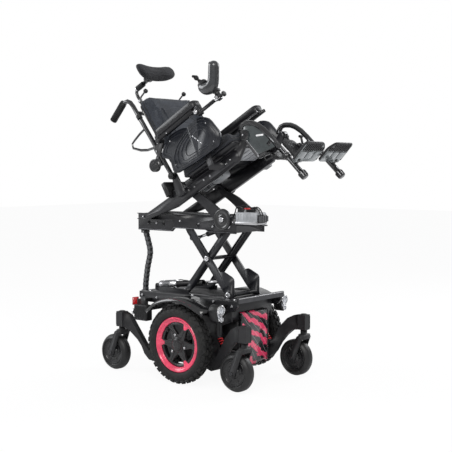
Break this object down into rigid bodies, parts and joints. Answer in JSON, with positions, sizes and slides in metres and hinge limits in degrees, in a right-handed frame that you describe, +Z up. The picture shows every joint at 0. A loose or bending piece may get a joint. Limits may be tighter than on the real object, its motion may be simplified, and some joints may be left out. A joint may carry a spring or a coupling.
{
  "type": "pediatric power wheelchair",
  "caption": "Child's mid-wheel-drive power wheelchair with sprung caster arms, scissor seat lift, seat tilt, reclining back, elevating leg rests, headrest and side joystick.",
  "frame": {"origin": "On the floor, midway between the foremost and rearmost points at rest and on the chair's centre plane", "axes": "+Z up, +X to the front, +Y to the user's left; the drive wheel axle is at x -0.0438"},
  "size_m": [1.0417, 0.526, 1.3207],
  "materials": {
    "frame_paint": "satin",
    "cast_arm": "matte",
    "caster_rubber": "matte",
    "tyre_rubber": "matte",
    "wheel_alloy": "gloss",
    "motor_paint": "satin",
    "bright_steel": "satin",
    "spring_red": "gloss",
    "shroud_pink": "gloss",
    "black_plastic": "matte",
    "grey_plastic": "matte",
    "seat_fabric": "matte",
    "soft_vinyl": "satin",
    "stick_rubber": "matte"
  },
  "bodies": {
    "base": {"deck_frame": "frame_paint", "battery_box": "black_plastic", "front_shroud": "shroud_pink", "cable_chain": "black_plastic", "fender_right": "black_plastic", "fender_left": "black_plastic", "headlight_right": "black_plastic", "headlight_left": "black_plastic", "rear_light_right": "black_plastic", "rear_light_left": "black_plastic", "drive_motor_right": "motor_paint", "drive_motor_left": "motor_paint", "suspension_spring_right": "spring_red", "suspension_spring_left": "spring_red"},
    "wheel_right": {"wheel_rim_right": "wheel_alloy", "tyre_right": "tyre_rubber"},
    "wheel_left": {"wheel_rim_left": "wheel_alloy", "tyre_left": "tyre_rubber"},
    "arm_front_right": {"caster_arm_front_right": "cast_arm"},
    "fork_front_right": {"caster_fork_front_right": "cast_arm"},
    "caster_front_right": {"caster_wheel_front_right": "caster_rubber"},
    "arm_front_left": {"caster_arm_front_left": "cast_arm"},
    "fork_front_left": {"caster_fork_front_left": "cast_arm"},
    "caster_front_left": {"caster_wheel_front_left": "caster_rubber"},
    "arm_rear_right": {"caster_arm_rear_right": "cast_arm"},
    "fork_rear_right": {"caster_fork_rear_right": "cast_arm"},
    "caster_rear_right": {"caster_wheel_rear_right": "caster_rubber"},
    "arm_rear_left": {"caster_arm_rear_left": "cast_arm"},
    "fork_rear_left": {"caster_fork_rear_left": "cast_arm"},
    "caster_rear_left": {"caster_wheel_rear_left": "caster_rubber"},
    "lift_outer": {"lift_arms_outer": "frame_paint"},
    "lift_inner": {"lift_arms_inner": "frame_paint"},
    "lift_motor": {"lift_actuator": "motor_paint"},
    "lift_motor_rod": {"lift_rod": "bright_steel"},
    "strut_tube": {"lift_strut": "motor_paint"},
    "strut_rod": {"lift_strut_rod": "bright_steel"},
    "platform": {"seat_platform": "frame_paint", "control_module": "grey_plastic"},
    "links": {"tilt_links": "frame_paint"},
    "seat": {"seat_frame": "frame_paint", "seat_cushion": "seat_fabric", "tilt_drive": "grey_plastic", "rear_case": "black_plastic", "side_guard_right": "black_plastic", "side_guard_left": "black_plastic"},
    "back": {"back_frame": "frame_paint", "back_cushion": "seat_fabric"},
    "headrest": {"headrest_stem": "frame_paint"},
    "headrest_cushion": {"headrest_pad": "soft_vinyl"},
    "armrest_right": {"armrest_right": "soft_vinyl"},
    "armrest_left": {"armrest_left": "soft_vinyl"},
    "joystick": {"joystick_pod": "black_plastic"},
    "joystick_gimbal": {"joystick_yoke": "stick_rubber"},
    "joystick_lever": {"joystick_stick": "stick_rubber"},
    "leg_right": {"legrest_right": "frame_paint"},
    "calf_right": {"calf_pad_right": "soft_vinyl"},
    "foot_right": {"footplate_right": "black_plastic"},
    "leg_left": {"legrest_left": "frame_paint"},
    "calf_left": {"calf_pad_left": "soft_vinyl"},
    "foot_left": {"footplate_left": "black_plastic"}
  },
  "joints": [
    {"name": "drive_wheel_right", "type": "hinge", "parent": "base", "child": "wheel_right", "pos_m": [-0.0438, -0.231, 0.159], "axis": [0, 1, 0], "continuous": true},
    {"name": "drive_wheel_left", "type": "hinge", "parent": "base", "child": "wheel_left", "pos_m": [-0.0438, 0.231, 0.159], "axis": [0, 1, 0], "continuous": true},
    {"name": "suspension_front_right", "type": "hinge", "parent": "base", "child": "arm_front_right", "pos_m": [0.0262, -0.1555, 0.092], "axis": [0, -1, 0], "range_deg": [0, 6], "stiffness_Nm_per_rad": 400, "springref_deg": -14.32, "deforming": ["suspension_spring_right"]},
    {"name": "suspension_front_left", "type": "hinge", "parent": "base", "child": "arm_front_left", "pos_m": [0.0262, 0.1555, 0.092], "axis": [0, -1, 0], "range_deg": [0, 6], "stiffness_Nm_per_rad": 400, "springref_deg": -14.32, "deforming": ["suspension_spring_left"]},
    {"name": "suspension_rear_right", "type": "hinge", "parent": "base", "child": "arm_rear_right", "pos_m": [-0.1138, -0.1555, 0.092], "axis": [0, 1, 0], "range_deg": [0, 4], "stiffness_Nm_per_rad": 400, "springref_deg": -14.32},
    {"name": "suspension_rear_left", "type": "hinge", "parent": "base", "child": "arm_rear_left", "pos_m": [-0.1138, 0.1555, 0.092], "axis": [0, 1, 0], "range_deg": [0, 4], "stiffness_Nm_per_rad": 400, "springref_deg": -14.32},
    {"name": "swivel_front_right", "type": "hinge", "parent": "arm_front_right", "child": "fork_front_right", "pos_m": [0.2642, -0.197, 0.2], "axis": [0, 0, 1], "continuous": true},
    {"name": "caster_roll_front_right", "type": "hinge", "parent": "fork_front_right", "child": "caster_front_right", "pos_m": [0.2262, -0.197, 0.076], "axis": [0, 1, 0], "continuous": true},
    {"name": "swivel_front_left", "type": "hinge", "parent": "arm_front_left", "child": "fork_front_left", "pos_m": [0.2642, 0.197, 0.2], "axis": [0, 0, 1], "continuous": true},
    {"name": "caster_roll_front_left", "type": "hinge", "parent": "fork_front_left", "child": "caster_front_left", "pos_m": [0.2262, 0.197, 0.076], "axis": [0, 1, 0], "continuous": true},
    {"name": "swivel_rear_right", "type": "hinge", "parent": "arm_rear_right", "child": "fork_rear_right", "pos_m": [-0.4068, -0.197, 0.2], "axis": [0, 0, 1], "continuous": true},
    {"name": "caster_roll_rear_right", "type": "hinge", "parent": "fork_rear_right", "child": "caster_rear_right", "pos_m": [-0.4448, -0.197, 0.076], "axis": [0, 1, 0], "continuous": true},
    {"name": "swivel_rear_left", "type": "hinge", "parent": "arm_rear_left", "child": "fork_rear_left", "pos_m": [-0.4068, 0.197, 0.2], "axis": [0, 0, 1], "continuous": true},
    {"name": "caster_roll_rear_left", "type": "hinge", "parent": "fork_rear_left", "child": "caster_rear_left", "pos_m": [-0.4448, 0.197, 0.076], "axis": [0, 1, 0], "continuous": true},
    {"name": "lift", "type": "hinge", "parent": "base", "child": "lift_outer", "pos_m": [0.0952, 0, 0.353], "axis": [0, -1, 0], "range_deg": [0, 37], "deforming": ["cable_chain"]},
    {"name": "lift_cross", "type": "hinge", "parent": "lift_outer", "child": "lift_inner", "pos_m": [-0.02372, 0, 0.49472], "axis": [0, -1, 0], "range_deg": [-74, 0]},
    {"name": "lift_top", "type": "hinge", "parent": "lift_inner", "child": "platform", "pos_m": [0.0952, 0, 0.63644], "axis": [0, -1, 0], "range_deg": [0, 37]},
    {"name": "lift_motor_trunnion", "type": "hinge", "parent": "base", "child": "lift_motor", "pos_m": [-0.3378, -0.042, 0.357], "axis": [0, -1, 0], "range_deg": [-5, 0]},
    {"name": "lift_motor_slide", "type": "slide", "parent": "lift_motor", "child": "lift_motor_rod", "axis": [0.9931, 0, 0.1172], "range_m": [-0.0247, 0]},
    {"name": "strut_pivot", "type": "hinge", "parent": "platform", "child": "strut_tube", "pos_m": [0.0702, -0.04, 0.63494], "axis": [0, -1, 0], "range_deg": [-13.1, 0]},
    {"name": "strut_slide", "type": "slide", "parent": "strut_tube", "child": "strut_rod", "axis": [-0.949, 0, -0.3154], "range_m": [0, 0.0855]},
    {"name": "tilt", "type": "hinge", "parent": "platform", "child": "links", "pos_m": [0.0712, 0, 0.65904], "axis": [0, 1, 0], "range_deg": [-22, 20]},
    {"name": "seat_pivot", "type": "hinge", "parent": "links", "child": "seat", "pos_m": [-0.12882, 0, 0.78893], "axis": [0, 1, 0], "range_deg": [-40, 44]},
    {"name": "recline", "type": "hinge", "parent": "seat", "child": "back", "pos_m": [-0.1315, 0, 0.83357], "axis": [0, -1, 0], "range_deg": [-5, 40]},
    {"name": "headrest_height", "type": "slide", "parent": "back", "child": "headrest", "axis": [-0.6088, 0, 0.7934], "range_m": [-0.06, 0.05]},
    {"name": "headrest_pitch", "type": "hinge", "parent": "headrest", "child": "headrest_cushion", "pos_m": [-0.43695, 0, 1.25464], "axis": [0, 1, 0], "range_deg": [-20, 25]},
    {"name": "armrest_flip_right", "type": "hinge", "parent": "back", "child": "armrest_right", "pos_m": [-0.18052, -0.2, 0.97848], "axis": [0, -1, 0], "range_deg": [0, 90]},
    {"name": "armrest_flip_left", "type": "hinge", "parent": "back", "child": "armrest_left", "pos_m": [-0.18052, 0.2, 0.97848], "axis": [0, -1, 0], "range_deg": [0, 90]},
    {"name": "joystick_swing", "type": "hinge", "parent": "armrest_right", "child": "joystick", "pos_m": [0.14293, -0.212, 1.14825], "axis": [0.5, 0, -0.866], "range_deg": [0, 90]},
    {"name": "joystick_pitch", "type": "hinge", "parent": "joystick", "child": "joystick_gimbal", "pos_m": [0.07677, -0.228, 1.19284], "axis": [0, 1, 0], "range_deg": [-20, 20], "stiffness_Nm_per_rad": 0.15},
    {"name": "joystick_roll", "type": "hinge", "parent": "joystick_gimbal", "child": "joystick_lever", "pos_m": [0.07677, -0.228, 1.19284], "axis": [0.6157, 0, 0.788], "range_deg": [-20, 20], "stiffness_Nm_per_rad": 0.15},
    {"name": "leg_raise_right", "type": "hinge", "parent": "seat", "child": "leg_right", "pos_m": [0.20826, -0.125, 0.99509], "axis": [0, -1, 0], "range_deg": [-8, 60]},
    {"name": "calf_pitch_right", "type": "hinge", "parent": "leg_right", "child": "calf_right", "pos_m": [0.32417, -0.125, 0.9581], "axis": [0, 1, 0], "range_deg": [-15, 15]},
    {"name": "foot_flip_right", "type": "hinge", "parent": "leg_right", "child": "foot_right", "pos_m": [0.45725, -0.125, 0.89553], "axis": [0, -1, 0], "range_deg": [0, 90]},
    {"name": "leg_raise_left", "type": "hinge", "parent": "seat", "child": "leg_left", "pos_m": [0.20826, 0.125, 0.99509], "axis": [0, -1, 0], "range_deg": [-8, 60]},
    {"name": "calf_pitch_left", "type": "hinge", "parent": "leg_left", "child": "calf_left", "pos_m": [0.32417, 0.125, 0.9581], "axis": [0, 1, 0], "range_deg": [-15, 15]},
    {"name": "foot_flip_left", "type": "hinge", "parent": "leg_left", "child": "foot_left", "pos_m": [0.45725, 0.125, 0.89553], "axis": [0, -1, 0], "range_deg": [0, 90]}
  ],
  "couplings": [
    {"joint": "lift_cross", "follows": "lift", "ratio": -2},
    {"joint": "lift_top", "follows": "lift", "ratio": 1},
    {"joint": "lift_motor_trunnion", "follows": "lift", "ratio": -0.13467},
    {"joint": "lift_motor_slide", "follows": "lift", "m_per_rad": -0.03789},
    {"joint": "strut_pivot", "follows": "lift", "ratio": -0.35324},
    {"joint": "strut_slide", "follows": "lift", "m_per_rad": 0.13196},
    {"joint": "seat_pivot", "follows": "tilt", "ratio": -2}
  ]
}
